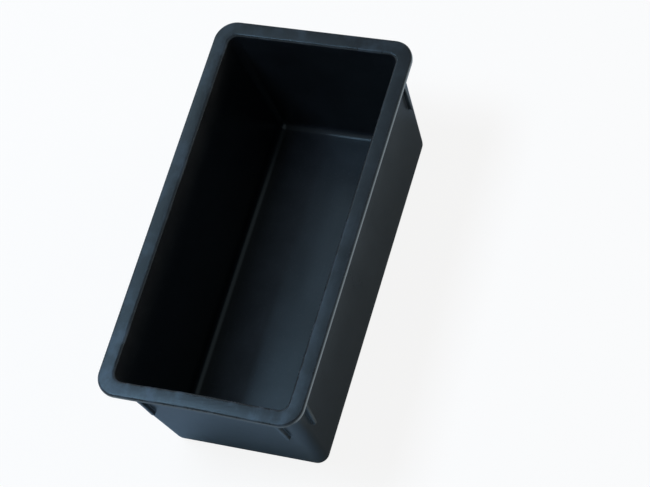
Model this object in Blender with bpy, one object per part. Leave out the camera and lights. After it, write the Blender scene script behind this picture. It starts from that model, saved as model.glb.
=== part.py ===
"""A loaf pan moulded in one piece from black glass-filled composite: a drafted trough with a flat
rim all round and stacking lugs under the rim. Length along X, width along Y, standing on Z = 0."""

import math

import bmesh
import bpy

# Rim
RIM_LENGTH = 0.215
RIM_WIDTH = 0.110
RIM_THICKNESS = 0.0026
RIM_OVERHANG = 0.006
RIM_CORNER_RADIUS = 0.0112
LIP_EDGE_RADIUS = 0.0009
MOUTH_EDGE_RADIUS = 0.0015
RIM_ROOT_RADIUS = 0.0012

# Walls and base
PAN_HEIGHT = 0.0865
WALL_THICKNESS = 0.0025
FLOOR_THICKNESS = 0.0026
DRAFT_ANGLE = math.radians(4.2)
CORNER_RADIUS_AT_BASE = 0.006
CORNER_RADIUS_AT_RIM = 0.0072
BASE_FILLET_RADIUS = 0.0065
TIGHTEST_CORNER = 0.0008

# Underside: a foot ring round a slightly raised panel, with the mark of the moulding gate
FOOT_RING_WIDTH = 0.008
FOOT_RING_HEIGHT = 0.0006
FOOT_STEP_RUN = 0.0012
FOOT_PANEL_CORNER_RADIUS = 0.004
GATE_DIMPLE_RADIUS = 0.005
GATE_DIMPLE_DEPTH = 0.0004

# Stacking lugs: two on each wall, whose undersides rest on the rim when equal pans are nested
STACKING_PITCH = 0.0378
LUG_WIDTH = 0.002
LUG_STAND_OUT = 0.0022
LUG_FROM_WALL_END = 0.012
LUG_EDGE_RADIUS = 0.0004

# Facets
CORNER_STEPS = 12
FILLET_STEPS = 6
SMALL_ROUND_STEPS = 4
LUG_ROUND_STEPS = 2
DIMPLE_SIDES = 32

# Places worked out from the sizes above
SLOPE = math.tan(DRAFT_ANGLE)
WALL_RUN = WALL_THICKNESS / math.cos(DRAFT_ANGLE)
RIM_UNDERSIDE = PAN_HEIGHT - RIM_THICKNESS
FLOOR_HEIGHT = FOOT_RING_HEIGHT + FLOOR_THICKNESS
LUG_BOTTOM = PAN_HEIGHT - STACKING_PITCH


def clear_scene():
    for old in list(bpy.data.objects):
        bpy.data.objects.remove(old, do_unlink=True)


def new_collection(name):
    collection = bpy.data.collections.new(name)
    bpy.context.scene.collection.children.link(collection)
    return collection


def outer_inset(height):
    """How far the wall's outer face lies inside the rim's edge, at a height."""
    return RIM_OVERHANG + (RIM_UNDERSIDE - height) * SLOPE


def inner_inset(height):
    """How far the wall's cavity face lies inside the rim's edge, at a height."""
    return outer_inset(height) + WALL_RUN


def outer_corner(height):
    """Radius of the wall's upright outer corner, which opens a little towards the rim."""
    share = height / RIM_UNDERSIDE
    return CORNER_RADIUS_AT_BASE + share * (CORNER_RADIUS_AT_RIM - CORNER_RADIUS_AT_BASE)


def arc(centre_inset, centre_height, radius, start, end, steps):
    """Profile points (inset, height) on an arc. Angle zero points out of the pan, 90 degrees up."""
    points = []
    for step in range(steps + 1):
        angle = start + (end - start) * step / steps
        inset = centre_inset - radius * math.cos(angle)
        points.append((inset, centre_height + radius * math.sin(angle)))
    return points


DOWN, UP = -math.pi / 2, math.pi / 2
WALL_OUTWARD = -DRAFT_ANGLE
WALL_INWARD = math.pi - DRAFT_ANGLE


def wall_touch_height(centre_height, radius, facing):
    """The height at which a round with this centre height touches the drafted wall."""
    return centre_height + radius * math.sin(facing)


def foot_fillet():
    """From the foot ring's flat face round to the outer wall."""
    radius = BASE_FILLET_RADIUS
    touch = wall_touch_height(radius, radius, WALL_OUTWARD)
    centre = outer_inset(touch) + radius * math.cos(WALL_OUTWARD)
    return arc(centre, radius, radius, DOWN, WALL_OUTWARD, FILLET_STEPS)


def rim_root():
    """The hollow round between the outer wall and the rim's underside."""
    radius = RIM_ROOT_RADIUS
    centre_height = RIM_UNDERSIDE - radius
    touch = wall_touch_height(centre_height, radius, WALL_INWARD)
    centre = outer_inset(touch) + radius * math.cos(WALL_INWARD)
    return arc(centre, centre_height, radius, WALL_INWARD, UP, SMALL_ROUND_STEPS)


def lip():
    """The rim's outer edge, rounded below and above."""
    radius = LIP_EDGE_RADIUS
    below = arc(radius, RIM_UNDERSIDE + radius, radius, DOWN, 0, SMALL_ROUND_STEPS)
    above = arc(radius, PAN_HEIGHT - radius, radius, 0, UP, SMALL_ROUND_STEPS)
    return below + above


def mouth():
    """The soft edge where the top of the rim turns down into the cavity."""
    radius = MOUTH_EDGE_RADIUS
    centre_height = PAN_HEIGHT - radius
    touch = wall_touch_height(centre_height, radius, WALL_INWARD)
    centre = inner_inset(touch) + radius * math.cos(WALL_INWARD)
    return arc(centre, centre_height, radius, UP, WALL_INWARD, SMALL_ROUND_STEPS)


def floor_fillet():
    """From the cavity's wall round to its floor, at an even thickness from the foot fillet."""
    radius = BASE_FILLET_RADIUS - WALL_THICKNESS
    centre_height = FLOOR_HEIGHT + radius
    touch = wall_touch_height(centre_height, radius, WALL_OUTWARD)
    centre = inner_inset(touch) + radius * math.cos(WALL_OUTWARD)
    return arc(centre, centre_height, radius, WALL_OUTWARD, DOWN, FILLET_STEPS)


def outer_sections():
    """Sections (inset, height, corner radius) of the underside and the outer wall, going up."""
    fillet = foot_fillet()
    ring_inner = fillet[0][0] + FOOT_RING_WIDTH
    panel_corner = FOOT_PANEL_CORNER_RADIUS
    sections = [
        (ring_inner + FOOT_STEP_RUN, FOOT_RING_HEIGHT, panel_corner),
        (ring_inner, 0, panel_corner + FOOT_STEP_RUN),
    ]
    for inset, height in fillet:
        corner = outer_corner(height) - (inset - outer_inset(height))
        sections.append((inset, height, max(corner, TIGHTEST_CORNER)))
    return sections


def rim_sections():
    """Sections of the rim: the root, the underside, the lip, the top and the mouth's edge."""
    mouth_corner = CORNER_RADIUS_AT_RIM - WALL_RUN
    across = RIM_OVERHANG + WALL_RUN
    sections = []
    for inset, height in rim_root() + lip() + mouth():
        corner = RIM_CORNER_RADIUS + (mouth_corner - RIM_CORNER_RADIUS) * inset / across
        sections.append((inset, height, corner))
    return sections


def inner_sections():
    """Sections of the cavity's lower part, going down to the floor."""
    sections = []
    for inset, height in floor_fillet():
        corner = outer_corner(height) - WALL_RUN - (inset - inner_inset(height))
        sections.append((inset, height, max(corner, TIGHTEST_CORNER)))
    return sections


def add_section(bm, inset, height, corner):
    """A ring of vertices: a rounded rectangle set in from the rim's outline."""
    centre_x = RIM_LENGTH / 2 - inset - corner
    centre_y = RIM_WIDTH / 2 - inset - corner
    ring = []
    for quarter, (side_x, side_y) in enumerate([(1, 1), (-1, 1), (-1, -1), (1, -1)]):
        for step in range(CORNER_STEPS + 1):
            angle = math.pi / 2 * (quarter + step / CORNER_STEPS)
            x = side_x * centre_x + corner * math.cos(angle)
            y = side_y * centre_y + corner * math.sin(angle)
            ring.append(bm.verts.new((x, y, height)))
    return ring


def loft(bm, sections):
    """A closed skin through the sections, capped by a flat face at both ends."""
    rings = [add_section(bm, *section) for section in sections]
    for lower, upper in zip(rings, rings[1:]):
        for index, corner in enumerate(lower):
            after = (index + 1) % len(lower)
            bm.faces.new((corner, lower[after], upper[after], upper[index]))
    bm.faces.new(reversed(rings[0]))
    bm.faces.new(rings[-1])


def composite():
    """Black composite with a satin skin."""
    material = bpy.data.materials.new("Black composite")
    material.use_nodes = True
    shader = material.node_tree.nodes["Principled BSDF"]
    shader.inputs["Base Color"].default_value = (0.014, 0.016, 0.019, 1)
    shader.inputs["Roughness"].default_value = 0.42
    return material


def make_pan(collection):
    bm = bmesh.new()
    loft(bm, outer_sections() + rim_sections() + inner_sections())
    mesh = bpy.data.meshes.new("pan_moulding")
    bm.to_mesh(mesh)
    bm.free()
    mesh.materials.append(composite())
    mesh.shade_smooth()
    mesh.set_sharp_from_angle(angle=math.radians(40))
    pan = bpy.data.objects.new("pan_moulding", mesh)
    collection.objects.link(pan)
    return pan


def lug_mesh():
    """One lug against a wall that faces +Y, with Y = 0 at the rim's edge and Z = 0 at the foot.
    It runs from its flat underside up into the rim, and its back is sunk in the wall."""
    top = RIM_UNDERSIDE + RIM_THICKNESS / 2
    back = -outer_inset(0) - WALL_RUN / 2
    front = -outer_inset(0) + LUG_STAND_OUT
    bm = bmesh.new()
    bmesh.ops.create_cube(bm, size=1)
    for vert in bm.verts:
        height = top if vert.co.z > 0 else LUG_BOTTOM
        depth = front if vert.co.y > 0 else back
        vert.co = (vert.co.x * LUG_WIDTH, depth + height * SLOPE, height)
    wall_face = -outer_inset(0)
    free_edges = []
    for edge in bm.edges:
        in_rim = all(vert.co.z > RIM_UNDERSIDE for vert in edge.verts)
        in_wall = all(vert.co.y - vert.co.z * SLOPE < wall_face for vert in edge.verts)
        if not in_rim and not in_wall:
            free_edges.append(edge)
    bmesh.ops.bevel(bm, geom=free_edges, offset=LUG_EDGE_RADIUS, offset_type="OFFSET",
                    segments=LUG_ROUND_STEPS, profile=0.5, affect="EDGES")
    mesh = bpy.data.meshes.new("lug")
    bm.to_mesh(mesh)
    bm.free()
    return mesh


def make_lugs(collection):
    """Two lugs on each wall, the same distance in from the wall's ends."""
    mesh = lug_mesh()
    half_length, half_width = RIM_LENGTH / 2, RIM_WIDTH / 2
    set_in = RIM_OVERHANG + LUG_FROM_WALL_END
    walls = [
        ("end", -math.pi / 2, half_length, half_width - set_in),
        ("side", 0, half_width, half_length - set_in),
    ]
    for name, turn, reach, along in walls:
        for opposite in (0, math.pi):
            for place in (-along, along):
                lug = bpy.data.objects.new(f"lug_{name}", mesh)
                angle = turn + opposite
                outward = (-math.sin(angle), math.cos(angle))
                sideways = (math.cos(angle), math.sin(angle))
                lug.location = (
                    reach * outward[0] + place * sideways[0],
                    reach * outward[1] + place * sideways[1],
                    0,
                )
                lug.rotation_euler.z = angle
                lug.hide_render = True
                lug.display_type = "WIRE"
                collection.objects.link(lug)


def make_gate_dimple(collection):
    bm = bmesh.new()
    bmesh.ops.create_cone(bm, cap_ends=True, segments=DIMPLE_SIDES, radius1=GATE_DIMPLE_RADIUS,
                          radius2=GATE_DIMPLE_RADIUS, depth=2 * GATE_DIMPLE_DEPTH)
    mesh = bpy.data.meshes.new("gate_dimple")
    bm.to_mesh(mesh)
    bm.free()
    dimple = bpy.data.objects.new("gate_dimple", mesh)
    dimple.location.z = FOOT_RING_HEIGHT
    dimple.hide_render = True
    dimple.display_type = "WIRE"
    collection.objects.link(dimple)
    return dimple


def join_lugs(pan, lugs):
    union = pan.modifiers.new("Lugs", "BOOLEAN")
    union.operation = "UNION"
    union.solver = "EXACT"
    union.operand_type = "COLLECTION"
    union.collection = lugs


def sink_dimple(pan, dimple):
    cut = pan.modifiers.new("Gate dimple", "BOOLEAN")
    cut.operation = "DIFFERENCE"
    cut.solver = "EXACT"
    cut.object = dimple


clear_scene()
pan = make_pan(new_collection("Loaf pan"))
lug_shapes = new_collection("Lug shapes")
make_lugs(lug_shapes)
join_lugs(pan, lug_shapes)
sink_dimple(pan, make_gate_dimple(new_collection("Cutters")))
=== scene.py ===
"""A loaf pan moulded in one piece from black glass-filled composite, on a pale studio floor.
Metres, length along X, width along Y, standing on Z = 0."""

import math

import bpy
from mathutils import Matrix, Vector


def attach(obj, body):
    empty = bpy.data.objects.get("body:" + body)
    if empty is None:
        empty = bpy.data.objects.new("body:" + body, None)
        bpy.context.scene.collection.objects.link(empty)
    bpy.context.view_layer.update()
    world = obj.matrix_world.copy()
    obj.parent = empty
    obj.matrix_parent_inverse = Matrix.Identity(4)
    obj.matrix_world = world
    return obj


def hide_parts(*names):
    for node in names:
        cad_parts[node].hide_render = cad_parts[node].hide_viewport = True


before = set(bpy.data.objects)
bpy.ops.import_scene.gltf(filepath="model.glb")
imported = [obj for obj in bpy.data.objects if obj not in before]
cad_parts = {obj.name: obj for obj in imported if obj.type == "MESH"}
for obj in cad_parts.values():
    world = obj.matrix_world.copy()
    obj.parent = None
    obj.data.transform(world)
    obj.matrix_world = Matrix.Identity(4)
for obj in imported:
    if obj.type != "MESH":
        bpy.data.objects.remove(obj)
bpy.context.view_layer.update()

# Sizes of the moulding, in metres
SIZES = {
    "Rim length": 0.215,
    "Rim width": 0.110,
    "Pan height": 0.0865,
    "Rim thickness": 0.0026,
    "Rim overhang": 0.006,
    "Rim corner radius": 0.0112,
    "Lip top radius": 0.0009,
    "Lip underside radius": 0.0003,
    "Mouth edge radius": 0.0015,
    "Rim root radius": 0.0012,
    "Wall thickness": 0.0025,
    "Floor thickness": 0.0026,
    "Corner radius at base": 0.006,
    "Corner radius at rim": 0.0072,
    "Foot fillet radius": 0.0065,
    "Tightest corner": 0.0008,
    "Foot ring width": 0.008,
    "Foot ring height": 0.0006,
    "Foot step run": 0.0012,
    "Near end warp": 0.0006,
    "Lug width": 0.002,
    "Lug stand-out": 0.0022,
    "Lug front radius": 0.0006,
    "Lug end radius": 0.0004,
    "Lug root radius": 0.0005,
    "Lug bottom": 0.0487,
    "Lug from wall end": 0.012,
    "Gate dimple radius": 0.005,
    "Gate dimple depth": 0.0004,
}
DRAFT_ANGLE = math.radians(4.2)
SLOPE = math.tan(DRAFT_ANGLE)
DIMPLE_SLOPE = 0.3
LUG_COUNT = 8
LUG_END_RUN = 1.6  # how far in a lug's flat end reaches, in radii of that end
LUG_FRONT_SHARE = 8  # a lug's tightest corner is the front radius over this
NEAR_END = 1  # the quarter of a ring whose straight side is the near end
WARP_POWER = 3  # how fast the near end's warp dies away below the rim

# Steps of the mesh
CORNER_STEPS = 20
SIDE_STEPS = 24
ROUND_STEPS = 9
LONGEST_STEP = 0.005
LUG_CORNER_STEPS = 8
LUG_SIDE_STEPS = 6
SHARP_FROM = math.radians(24)
WELD = 0.000002
DIMPLE_SIDES = 48


class Socket:
    """A node's output. Sums on it add Math nodes to its tree."""

    def __init__(self, tree, socket):
        self.tree, self.socket = tree, socket

    def math(self, operation, *others):
        return self.tree.math(operation, self, *others)

    def out(self, name):
        return Socket(self.tree, self.socket.node.outputs[name])

    def __add__(self, other):
        return self.math("ADD", other)

    def __sub__(self, other):
        return self.math("SUBTRACT", other)

    def __rsub__(self, other):
        return self.tree.math("SUBTRACT", other, self)

    def __mul__(self, other):
        return self.math("MULTIPLY", other)

    def __truediv__(self, other):
        return self.math("DIVIDE", other)

    def __rtruediv__(self, other):
        return self.tree.math("DIVIDE", other, self)

    def __neg__(self):
        return self.math("MULTIPLY", -1)

    __radd__ = __add__
    __rmul__ = __mul__


class Tree:
    """A node tree being written."""

    def __init__(self, tree):
        self.nodes, self.links = tree.nodes, tree.links

    def add(self, kind, settings=None, inputs=None, out=0):
        """Adds a node, with its settings first and then the values or links of its sockets."""
        node = self.nodes.new(kind)
        for name, value in (settings or {}).items():
            if name == "items":
                while len(node.index_switch_items) < value:
                    node.index_switch_items.new()
            else:
                setattr(node, name, value)
        if isinstance(inputs, (list, tuple)):
            inputs = dict(enumerate(inputs))
        for key, value in (inputs or {}).items():
            for each in value if isinstance(value, list) else [value]:
                if isinstance(each, Socket):
                    self.links.new(each.socket, node.inputs[key])
                else:
                    node.inputs[key].default_value = each
        return Socket(self, node.outputs[out] if node.outputs else None)

    def math(self, operation, *values):
        return self.add("ShaderNodeMath", {"operation": operation}, values)

    def vector(self, x, y, z):
        return self.add("ShaderNodeCombineXYZ", inputs=[x, y, z])

    def parts(self, vector):
        x = self.add("ShaderNodeSeparateXYZ", inputs=[vector])
        return x, x.out("Y"), x.out("Z")

    def limit(self, value):
        """Held between 0 and 1."""
        return self.add("ShaderNodeClamp", inputs=[value, 0, 1])

    def blend(self, share, first, second):
        """From first to second as share goes from 0 to 1."""
        return share * (second - first) + first


class PanTree(Tree):
    """The Geometry Nodes tree of the moulding: a skin through rounded-rectangle rings, and its lugs."""

    def __init__(self, group):
        super().__init__(group)
        group.interface.new_socket("Geometry", in_out="OUTPUT", socket_type="NodeSocketGeometry")
        for name in SIZES:
            group.interface.new_socket(name, in_out="INPUT", socket_type="NodeSocketFloat")
        sizes = self.add("NodeGroupInput")
        self.size = {name: sizes.out(name) for name in SIZES}
        self.underside = self.size["Pan height"] - self.size["Rim thickness"]
        self.floor = self.size["Foot ring height"] + self.size["Floor thickness"]
        self.wall_run = self.size["Wall thickness"] / math.cos(DRAFT_ANGLE)

    def index(self):
        return self.add("GeometryNodeInputIndex")

    def position(self):
        return self.add("GeometryNodeInputPosition")

    def move(self, geometry, place):
        return self.add("GeometryNodeSetPosition", inputs={"Geometry": geometry, "Position": place})

    def outer_inset(self, height):
        """How far the wall's outer face lies inside the rim's edge, at a height."""
        return self.size["Rim overhang"] + (self.underside - height) * SLOPE

    def profile(self, corners):
        """A curve through corners (inset, height, radius), with inset as X and height as Z."""
        places = [self.vector(inset, 0, height) for inset, height, _ in corners]
        choice = {"data_type": "VECTOR", "items": len(corners)}
        place = self.add("GeometryNodeIndexSwitch", choice, [self.index(), *places])
        choice = {"data_type": "FLOAT", "items": len(corners)}
        radius = self.add("GeometryNodeIndexSwitch", choice, [self.index(), *(r for _, _, r in corners)])
        line = self.add("GeometryNodeMeshLine", inputs={"Count": len(corners)})
        line = self.move(line, place)
        line = self.add("GeometryNodeMeshToCurve", inputs={"Mesh": line})
        line = self.add("GeometryNodeFilletCurve", {"mode": "POLY"},
                        {"Curve": line, "Count": ROUND_STEPS, "Radius": radius})
        here = self.position()
        after = self.add("GeometryNodeFieldAtIndex", {"data_type": "FLOAT_VECTOR"},
                         {"Index": self.index() + 1, "Value": here})
        length = self.add("ShaderNodeVectorMath", {"operation": "DISTANCE"}, [here, after], "Value")
        cuts = (length / LONGEST_STEP).math("FLOOR")
        return self.add("GeometryNodeSubdivideCurve", inputs={"Curve": line, "Cuts": cuts})

    def skin(self, corners, ring, columns):
        """A closed mesh through one ring for each point of the profile, with a flat cap at both ends.
        ring gives a ring's point from a column, an inset and a height."""
        profile = self.profile(corners)
        rows = self.add("GeometryNodeAttributeDomainSize", {"component": "CURVE"}, [profile])
        last = rows - 1

        def at(row, column):
            point = self.add("GeometryNodeSampleIndex", {"data_type": "FLOAT_VECTOR"},
                             {"Geometry": profile, "Value": self.position(), "Index": row})
            inset, _, height = self.parts(point)
            return ring(column, inset, height)

        column = (self.index() / rows).math("FLOOR")
        place = at(self.index() - column * rows, column)
        grid = self.add("GeometryNodeMeshGrid", inputs={"Vertices X": columns + 1, "Vertices Y": rows})
        grid = self.move(grid, place)
        circle = self.add("GeometryNodeMeshCircle", {"fill_type": "NGON"}, {"Vertices": columns})
        low = self.move(circle, at(0, self.index()))
        low = self.add("GeometryNodeFlipFaces", inputs=[low])
        high = self.move(circle, at(last, self.index()))
        closed = self.add("GeometryNodeJoinGeometry", inputs=[[high, low, grid]])
        return self.add("GeometryNodeMergeByDistance", inputs={"Geometry": closed, "Distance": WELD})

    def ring_point(self, column, half_x, half_y, corner, corner_steps, side_steps):
        """A point of a rounded rectangle, and how far it is along its straight side. Each quarter of the ring
        is a corner and then the straight side after it."""
        steps = corner_steps + side_steps
        quarter = (column / steps).math("FLOOR")
        step = column - quarter * steps
        turned = self.limit(step / corner_steps)
        along = self.limit((step - corner_steps) / side_steps)
        angle = (quarter + turned) * (math.pi / 2)

        def side(function, turn):
            """The sign of cosine or sine in the corner that lies turn quarters on."""
            return ((quarter + turn) * (math.pi / 2)).math(function).math("SIGN")

        side_x = self.blend(along, side("COSINE", 0.5), side("COSINE", 1.5))
        side_y = self.blend(along, side("SINE", 0.5), side("SINE", 1.5))
        x = side_x * (half_x - corner) + corner * angle.math("COSINE")
        y = side_y * (half_y - corner) + corner * angle.math("SINE")
        return x, y, quarter, along

    def pan_ring(self, column, inset, height):
        """A ring's point on the pan. The middle of the near end bows in a little towards the rim."""
        size = self.size
        opening = size["Corner radius at rim"] - size["Corner radius at base"]
        wall_corner = size["Corner radius at base"] + opening * height / self.underside
        wall_corner = wall_corner + self.outer_inset(height) - inset
        on_wall = self.limit(inset / size["Rim overhang"])
        corner = self.blend(on_wall, size["Rim corner radius"], wall_corner)
        corner = corner.math("MAXIMUM", size["Tightest corner"])
        half_x = size["Rim length"] / 2 - inset
        half_y = size["Rim width"] / 2 - inset
        x, y, quarter, along = self.ring_point(column, half_x, half_y, corner, CORNER_STEPS, SIDE_STEPS)
        near_end = quarter.math("COMPARE", NEAR_END, 0.1)
        middle = (1 - (along * (2 * math.pi)).math("COSINE")) / 2
        rise = (height / size["Pan height"]).math("POWER", WARP_POWER)
        warp = near_end * middle * rise * size["Near end warp"]
        return self.vector(x + warp, y, height)

    def shell(self):
        """The walls, floor and rim. The profile runs from the panel under the floor, over the foot ring, up
        the wall, round the rim, and down the inside to the floor."""
        size = self.size
        foot = self.outer_inset(0)
        foot_start = foot + size["Foot fillet radius"] * math.tan(math.pi / 4 - DRAFT_ANGLE / 2)
        ring_inner = foot_start + size["Foot ring width"]
        inner = self.outer_inset(self.floor) + self.wall_run
        mouth = self.outer_inset(size["Pan height"]) + self.wall_run
        floor_radius = size["Foot fillet radius"] - size["Wall thickness"]
        corners = [
            (ring_inner + size["Foot step run"] * 2, size["Foot ring height"], 0),
            (ring_inner + size["Foot step run"], size["Foot ring height"], 0),
            (ring_inner, 0, 0),
            (foot, 0, size["Foot fillet radius"]),
            (size["Rim overhang"], self.underside, size["Rim root radius"]),
            (0, self.underside, size["Lip underside radius"]),
            (0, size["Pan height"], size["Lip top radius"]),
            (mouth, size["Pan height"], size["Mouth edge radius"]),
            (inner, self.floor, floor_radius),
            (inner + size["Foot fillet radius"], self.floor, 0),
        ]
        return self.skin(corners, self.pan_ring, 4 * (CORNER_STEPS + SIDE_STEPS))

    def lug_ring(self, column, inset, height):
        """A lug's ring, facing +X, with X = 0 at the rim's edge. It spreads a little where it meets the
        wall."""
        size = self.size
        root, front = size["Lug root radius"], size["Lug front radius"]
        back = -(root + front)
        depth = size["Lug stand-out"] - back
        corner = (front - inset).math("MAXIMUM", front / LUG_FRONT_SHARE)
        x, y, _, _ = self.ring_point(column, depth / 2 - inset, size["Lug width"] / 2 - inset, corner,
                                     LUG_CORNER_STEPS, LUG_SIDE_STEPS)
        from_wall = x + back + depth / 2
        sunk = self.limit(1 - from_wall / root)
        spread = root * (1 - (1 - sunk * sunk).math("SQRT"))
        at_bottom = self.limit(1 - (height - size["Lug bottom"]) / (root * 2))
        out = from_wall - self.outer_inset(height)
        return self.vector(out, y + y.math("SIGN") * spread, height - at_bottom * spread)

    def lug(self):
        """One lug, from its flat lower end up into the rim."""
        size = self.size
        bottom = size["Lug bottom"]
        corners = [
            (size["Lug end radius"] * LUG_END_RUN, bottom, 0),
            (0, bottom, size["Lug end radius"]),
            (0, self.underside + size["Rim thickness"] / 2, 0),
        ]
        return self.skin(corners, self.lug_ring, 4 * (LUG_CORNER_STEPS + LUG_SIDE_STEPS))

    def lugs(self):
        """Two lugs on each wall, the same distance in from the wall's ends."""
        size = self.size
        wall = (self.index() / 2).math("FLOOR")
        place = (self.index() - wall * 2) * 2 - 1
        on_side = wall - (wall / 2).math("FLOOR") * 2
        half_x, half_y = size["Rim length"] / 2, size["Rim width"] / 2
        reach = self.blend(on_side, half_x, half_y)
        set_in = size["Rim overhang"] + size["Lug from wall end"]
        along = (self.blend(on_side, half_y, half_x) - set_in) * place
        angle = wall * (math.pi / 2)
        cosine, sine = angle.math("COSINE"), angle.math("SINE")
        place = self.vector(reach * cosine - along * sine, reach * sine + along * cosine, 0)
        points = self.add("GeometryNodePoints", inputs={"Count": LUG_COUNT, "Position": place})
        made = self.add("GeometryNodeInstanceOnPoints", inputs={
            "Points": points, "Instance": self.lug(), "Rotation": self.vector(0, 0, angle)})
        return self.add("GeometryNodeRealizeInstances", inputs=[made])

    def gate_dimple(self):
        """The cutter for the shallow round mark that the gate leaves in the underside."""
        radius = self.size["Gate dimple radius"]
        top = self.size["Foot ring height"] + self.size["Gate dimple depth"]
        return self.add("GeometryNodeMeshCone", inputs={
            "Vertices": DIMPLE_SIDES, "Radius Bottom": radius, "Radius Top": radius - top * DIMPLE_SLOPE,
            "Depth": top})

    def finish_moulding(self, material):
        """The skin with its lugs grown on and the gate's dimple sunk in the underside."""
        moulding = self.add("GeometryNodeMeshBoolean", {"operation": "UNION", "solver": "MANIFOLD"},
                            {"Mesh 2": [self.shell(), self.lugs()]})
        moulding = self.add("GeometryNodeMeshBoolean", {"operation": "DIFFERENCE", "solver": "MANIFOLD"},
                            {"Mesh 1": moulding, "Mesh 2": self.gate_dimple()})
        angle = self.add("GeometryNodeInputMeshEdgeAngle", out="Unsigned Angle")
        moulding = self.add("GeometryNodeSetShadeSmooth", {"domain": "FACE"}, {"Geometry": moulding})
        moulding = self.add("GeometryNodeSetShadeSmooth", {"domain": "EDGE"}, {
            "Geometry": moulding, "Selection": angle.math("GREATER_THAN", SHARP_FROM), "Shade Smooth": False})
        moulding = self.add("GeometryNodeRealizeInstances", inputs=[moulding])
        moulding = self.add("GeometryNodeSetMaterial", inputs={"Geometry": moulding, "Material": material})
        self.add("NodeGroupOutput", inputs=[moulding])


def mould_pan(material):
    """The pan as a plain mesh."""
    group = bpy.data.node_groups.new("Moulded pan", "GeometryNodeTree")
    PanTree(group).finish_moulding(material)
    pan = bpy.data.objects.new("loaf_pan", bpy.data.meshes.new("loaf_pan"))
    bpy.context.scene.collection.objects.link(pan)
    moulding = pan.modifiers.new("Moulding", "NODES")
    moulding.node_group = group
    for socket in group.interface.items_tree:
        if socket.in_out == "INPUT":
            moulding[socket.identifier] = SIZES[socket.name]
    depsgraph = bpy.context.evaluated_depsgraph_get()
    mesh = bpy.data.meshes.new_from_object(
        pan.evaluated_get(depsgraph), preserve_all_data_layers=True, depsgraph=depsgraph)
    pan.modifiers.clear()
    pan.data = mesh
    mesh.name = "loaf_pan"
    return pan


class ShaderTree(Tree):
    """The shader nodes of a material or a world, written from nothing."""

    def __init__(self, owner):
        owner.use_nodes = True
        super().__init__(owner.node_tree)
        self.nodes.clear()

    def ease(self, value, low, high):
        """0 below low and 1 above high, smooth between them."""
        return self.add("ShaderNodeMapRange", {"interpolation_type": "SMOOTHSTEP"}, [value, low, high])

    def fade(self, value, near, far):
        """1 below near and 0 above far, smooth between them."""
        return 1 - self.ease(value, near, far)

    def tint(self, share, first, second):
        """The colour from first to second as share goes from 0 to 1."""
        return self.add("ShaderNodeMix", {"data_type": "RGBA"}, {0: share, 6: first, 7: second}, out=2)


class FinishTree(ShaderTree):
    """The shader nodes of a finish, on the piece's own Object coordinates."""

    def __init__(self, material):
        super().__init__(material)
        self.place = self.add("ShaderNodeTexCoord", out="Object")
        self.x, self.y, self.z = self.parts(self.place)

    def noise(self, scale, detail=2, roughness=0.5, stretch=(1, 1, 1), shift=(0, 0, 0)):
        place = self.add("ShaderNodeVectorMath", {"operation": "MULTIPLY_ADD"}, [self.place, stretch, shift])
        return self.add("ShaderNodeTexNoise", inputs={
            "Vector": place, "Scale": scale, "Detail": detail, "Roughness": roughness})


def diagonal(first, second):
    return (first * first + second * second).math("SQRT")


def rim_inset(tree):
    """How far a point lies inside the rim's outline, seen from above."""
    corner = SIZES["Rim corner radius"]
    over_x = tree.x.math("ABSOLUTE") - (SIZES["Rim length"] / 2 - corner)
    over_y = tree.y.math("ABSOLUTE") - (SIZES["Rim width"] / 2 - corner)
    outside = diagonal(over_x.math("MAXIMUM", 0), over_y.math("MAXIMUM", 0))
    inside = over_x.math("MAXIMUM", over_y).math("MINIMUM", 0)
    return corner - outside - inside


def beyond_wall(tree):
    """How far a point stands out of the drafted wall."""
    wall_inset = SIZES["Rim overhang"] + (SIZES["Pan height"] - SIZES["Rim thickness"] - tree.z) * SLOPE
    over_x = tree.x.math("ABSOLUTE") - (SIZES["Rim length"] / 2 - wall_inset)
    over_y = tree.y.math("ABSOLUTE") - (SIZES["Rim width"] / 2 - wall_inset)
    return over_x.math("MAXIMUM", over_y)


# Tones of the composite
SLATE = (0.0065, 0.0080, 0.0105, 1)
LIGHTER_SLATE = (0.0115, 0.0140, 0.0175, 1)
FIBRE = (0.045, 0.050, 0.056, 1)
# Smudges: real handling marks in a lighter, bluer tone that is also a painted sheen on the rim
SMUDGE_AND_SHEEN = (0.042, 0.058, 0.078, 1)
# Scuffed lugs: a lighter tone that is also a painted highlight on their faces
SCUFF_AND_HIGHLIGHT = (0.080, 0.098, 0.112, 1)
GLOSS_TONE = (0.72, 0.92, 1, 1)

# Where a mark starts and where it is full, or the other way round where it fades, in metres
EDGE_WEAR = (0.0004, 0.0017)  # from an edge of the rim
LIP_FACE = (0.0002, 0.0005)  # in from the rim's outline
LONG_SIDES = (0.050, 0.054)  # from the middle line
RIM_TOP = (0.0008, 0.0016)  # down from the top
# Painted shade: the smudges' lighter tone thins along the length past the near end and across the right lip
DIMMER_PAST_END = (-0.10, -0.05)  # along the length
DIMMER_RIGHT_LIP = (-0.052, -0.045)  # across the width
UNDER_RIM = (0.0815, 0.0828)  # up from the foot
LUG_FACE = (0.0004, 0.0010)  # out of the wall

# What is left of the smudges and their painted sheen where the rim gets painted shade
FAR_SMUDGES_AND_SHEEN = 0.45
RIGHT_SMUDGES_AND_SHEEN = 0.35

# Heights of the relief, in metres
GRAIN_HEIGHT = 0.000006
SWELL_HEIGHT = 0.00005
MOTTLE_HEIGHT = 0.000012

PLAIN_ROUGHNESS = 0.23
LIP_COAT = 0.6
LIP_COAT_ROUGHNESS = 0.12


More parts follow.
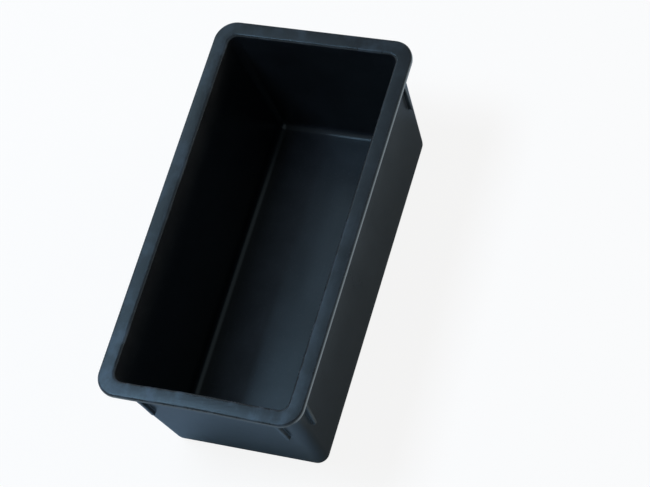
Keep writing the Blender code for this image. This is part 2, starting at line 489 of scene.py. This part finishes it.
def composite_finish():
    """Satin black composite: a slate tone with fibre flecks and flow marks, a fine moulded grain, smudges on
    the rim that double as a painted sheen, lighter and bluer at the near end and thinned as painted shade at
    the far end and the right lip, light rub marks, scuffed lugs that also carry a painted highlight, edges
    polished by handling, and glossier lips along the two long sides."""
    material = bpy.data.materials.new("Black composite")
    tree = FinishTree(material)
    inset = rim_inset(tree)
    below_top = SIZES["Pan height"] - tree.z
    mouth = SIZES["Rim overhang"] + SIZES["Wall thickness"] - SIZES["Rim thickness"] * SLOPE
    edge = diagonal(inset, below_top).math("MINIMUM", diagonal(inset - mouth, below_top))
    mottle = tree.noise(scale=55, detail=4, roughness=0.6)
    worn = tree.fade(edge, *EDGE_WEAR) * tree.ease(mottle, 0.3, 0.65)
    lip = tree.fade(inset, *LIP_FACE) * tree.ease(tree.y.math("ABSOLUTE"), *LONG_SIDES)

    on_rim = tree.fade(below_top, *RIM_TOP)
    # Painted sheen and painted shade: smudges are full at the near end, fewer at the far end and along the
    # right lip
    handled_and_lit = tree.blend(tree.fade(tree.x, *DIMMER_PAST_END), FAR_SMUDGES_AND_SHEEN, 1)
    handled_and_lit = handled_and_lit * tree.blend(tree.ease(tree.y, *DIMMER_RIGHT_LIP), RIGHT_SMUDGES_AND_SHEEN, 1)
    smears_and_sheen = tree.noise(scale=90, detail=5, roughness=0.6, stretch=(0.8, 1, 1), shift=(0, 0, 36.2))
    smudge_and_sheen = tree.ease(smears_and_sheen, 0.44, 0.68) * on_rim * handled_and_lit

    under_rim = tree.fade(tree.z, *UNDER_RIM)
    on_lug = tree.ease(beyond_wall(tree), *LUG_FACE)
    # Scuffs on the lugs, partly a painted highlight that lightens their faces
    scrapes_and_highlight = tree.noise(scale=170, detail=3, roughness=0.6, stretch=(1, 1, 0.4))
    scuff_and_highlight = on_lug * tree.ease(scrapes_and_highlight, 0.3, 0.6)

    fleck = tree.ease(tree.noise(scale=1500, roughness=0.6, stretch=(0.45, 1, 0.6)), 0.6, 0.74)
    flow = tree.noise(scale=26, detail=3, roughness=0.55, stretch=(1.4, 1.4, 0.22))
    rubs_along = tree.noise(scale=40, stretch=(1, 34, 34))
    rubs = rubs_along.math("MAXIMUM", tree.noise(scale=46, stretch=(30, 2, 30)))
    rub = tree.ease(rubs, 0.655, 0.7) * tree.ease(tree.noise(scale=24), 0.45, 0.62)

    tone = tree.tint(tree.ease(mottle * 0.6 + flow * 0.4, 0.32, 0.68), SLATE, LIGHTER_SLATE)
    tone = tree.tint(fleck * 0.35, tone, FIBRE)
    # The smudge tone lightens the rim, partly as a painted sheen
    tone = tree.tint(smudge_and_sheen * 0.9 + rub * 0.10, tone, SMUDGE_AND_SHEEN)
    # Lugs lightened by the scuffs, partly as a painted highlight
    tone = tree.tint(scuff_and_highlight * under_rim * 0.6, tone, SCUFF_AND_HIGHLIGHT)
    roughness = PLAIN_ROUGHNESS + mottle * 0.08 + flow * 0.05 + smudge_and_sheen * 0.10 + rub * 0.06
    roughness = roughness - worn * 0.07 - lip * 0.1
    grain = tree.noise(scale=1900, roughness=0.55)
    swell = tree.noise(scale=30, roughness=0.4)
    height = grain * GRAIN_HEIGHT + swell * SWELL_HEIGHT + mottle * MOTTLE_HEIGHT
    normal = tree.add("ShaderNodeBump", inputs={"Strength": 1, "Distance": 1, "Height": height})
    skin = tree.add("ShaderNodeBsdfPrincipled", inputs={
        "Base Color": tone, "Roughness": roughness, "Normal": normal, "IOR": 1.5,
        "Specular IOR Level": 0.5, "Specular Tint": GLOSS_TONE,
        "Coat Weight": lip * LIP_COAT, "Coat Roughness": LIP_COAT_ROUGHNESS})
    tree.add("ShaderNodeOutputMaterial", inputs={"Surface": skin})
    return material


# The floor
FLOOR_HALF = 4
FLOOR_LEVEL = -0.0001
FLOOR_LIT = (0.34, 0.44, 0.54, 1)  # its colour for the light that it throws back
FLOOR_SEEN = (0.9, 0.9, 0.9, 1)
WHITE = (1, 1, 1, 1)
MIRRORED_WHITE = (0.82, 0.93, 1, 1)
FLOOR_WHITENESS = 0.88  # how much of it is plain white to the camera. The rest takes the light and the shadow
SHADE_EDGE = (0.020, 0.034)  # how far beyond the rim the pan's shade starts to fade and is gone, in metres
SHADE_PAST_ENDS = 0.012  # how much further it reaches beyond the pan's ends
SHADED_WHITE, OPEN_WHITE = 0.03, 0.9  # how much white glossy faces mirror, in the shade and past it

# The room
ROOM_TONE = (0.9, 0.95, 1, 1)
ROOM_LIGHT = 0.12
BACKGROUND_LIGHT = 0.97
CEILING = (0.25, 0.6)  # how steeply up the ceiling starts and is full
HORIZON_WHITE, CEILING_WHITE = 0.6, 0.22  # how much white glossy faces mirror there


def white_share(tree, seen, mirrored):
    """How much a ray takes the plain white of the background: one from the camera or through glass, and one
    off a glossy face."""
    camera = tree.add("ShaderNodeLightPath", out="Is Camera Ray")
    straight = camera.math("MAXIMUM", camera.out("Is Transmission Ray"))
    return straight * seen + camera.out("Is Glossy Ray") * mirrored


def make_floor():
    """A floor that is plain white to the camera, with the pan's shadow. Glossy faces mirror the open floor,
    but little of the floor close to the pan, which the pan shades."""
    mesh = bpy.data.meshes.new("floor")
    corners = [(x * FLOOR_HALF, y * FLOOR_HALF, FLOOR_LEVEL) for x, y in ((-1, -1), (1, -1), (1, 1), (-1, 1))]
    mesh.from_pydata(corners, [], [(0, 1, 2, 3)])
    floor = bpy.data.objects.new("floor", mesh)
    bpy.context.scene.collection.objects.link(floor)
    material = bpy.data.materials.new("Pale floor")
    tree = ShaderTree(material)
    colour = tree.tint(white_share(tree, 1, 0), FLOOR_LIT, FLOOR_SEEN)
    matt = tree.add("ShaderNodeBsdfDiffuse", inputs={"Color": colour})
    white = tree.tint(white_share(tree, 0, 1), WHITE, MIRRORED_WHITE)
    white = tree.add("ShaderNodeEmission", inputs={"Color": white, "Strength": 1})
    x, y, _ = tree.parts(tree.add("ShaderNodeTexCoord", out="Object"))
    beyond_x = x.math("ABSOLUTE") - SIZES["Rim length"] / 2 - SHADE_PAST_ENDS
    beyond_y = y.math("ABSOLUTE") - SIZES["Rim width"] / 2
    open_floor = tree.ease(beyond_x.math("MAXIMUM", beyond_y), *SHADE_EDGE)
    mirrored = tree.blend(open_floor, SHADED_WHITE, OPEN_WHITE)
    seen = tree.add("ShaderNodeMixShader", inputs=[white_share(tree, FLOOR_WHITENESS, mirrored), matt, white])
    tree.add("ShaderNodeOutputMaterial", inputs={"Surface": seen})
    mesh.materials.append(material)


def light_room():
    """A dim room that lights the pan a little, in front of a plain white background."""
    world = bpy.data.worlds.new("Studio")
    tree = ShaderTree(world)
    room = tree.add("ShaderNodeBackground", inputs={"Color": ROOM_TONE, "Strength": ROOM_LIGHT})
    white = tree.add("ShaderNodeBackground", inputs={"Color": WHITE, "Strength": BACKGROUND_LIGHT})
    _, _, height = tree.parts(tree.add("ShaderNodeTexCoord", out="Generated"))
    mirrored = tree.blend(tree.ease(height, *CEILING), HORIZON_WHITE, CEILING_WHITE)
    seen = tree.add("ShaderNodeMixShader", inputs=[white_share(tree, 1, mirrored), room, white])
    tree.add("ShaderNodeOutputWorld", inputs={"Surface": seen})
    bpy.context.scene.world = world


def softbox(name, place, size, power, colour, facing=None, mirrored=False):
    """A soft lamp that only lights, or one that is only mirrored in glossy faces. It faces straight down
    unless facing gives a point."""
    lamp = bpy.data.lights.new(name, "AREA")
    lamp.shape = "RECTANGLE"
    lamp.size, lamp.size_y = size
    lamp.energy = power
    lamp.color = colour
    box = bpy.data.objects.new(name, lamp)
    box.location = place
    box.visible_diffuse, box.visible_glossy = not mirrored, mirrored
    target = Vector(facing or (place[0], place[1], 0))
    box.rotation_euler = (target - Vector(place)).to_track_quat("-Z", "Y").to_euler()
    bpy.context.scene.collection.objects.link(box)


def light_pan():
    """Two lamps overhead and a low strip on the right light the pan, and two cards on the left show in it."""
    softbox("overhead", (-0.05, 0.4, 1.3), (0.4, 0.4), power=10.3, colour=(0.79, 0.83, 1))
    softbox("blue overhead", (-0.2, 0.45, 1.3), (0.4, 0.4), power=6.4, colour=(0.50, 0.83, 1))
    softbox("far left card", (0.66, 0.78, 1.2), (0.3, 0.24), power=0.88, colour=(0.72, 0.88, 1),
            mirrored=True)
    softbox("near left card", (0.1, 0.62, 1.2), (0.3, 0.24), power=3.15, colour=(0.55, 0.76, 1),
            mirrored=True)
    softbox("right strip", (0.55, -1.05, 0.2), (1.1, 0.18), power=9.2, colour=(1, 0.85, 0.65),
            facing=(0, -0.05, 0.09))


# Camera, worked out from the pan's outline in the photograph. Lengths are in widths of the rim.
CAMERA_TURN = Vector((-0.57779924, 0.07803658, 1.30809739))
CAMERA_OFFSET = Vector((-0.10264632, -0.21597974, -11.55209571)) * SIZES["Rim width"]
FOCAL_PIXELS = 2395.374
PHOTO_WIDTH = 650
SENSOR_WIDTH = 36  # millimetres, as Blender gives it


def make_camera():
    data = bpy.data.cameras.new("camera")
    data.sensor_width = SENSOR_WIDTH
    data.lens = FOCAL_PIXELS / PHOTO_WIDTH * SENSOR_WIDTH
    camera = bpy.data.objects.new("camera", data)
    turn = Matrix.Rotation(CAMERA_TURN.length, 3, CAMERA_TURN.normalized()).transposed()
    camera.matrix_world = Matrix.Translation(-(turn @ CAMERA_OFFSET)) @ turn.to_4x4()
    bpy.context.scene.collection.objects.link(camera)
    bpy.context.scene.camera = camera


make_camera()
make_floor()
light_room()
light_pan()

pan = mould_pan(composite_finish())
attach(pan, "root")
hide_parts("pan_moulding")

bpy.context.scene.view_settings.view_transform = "Standard"
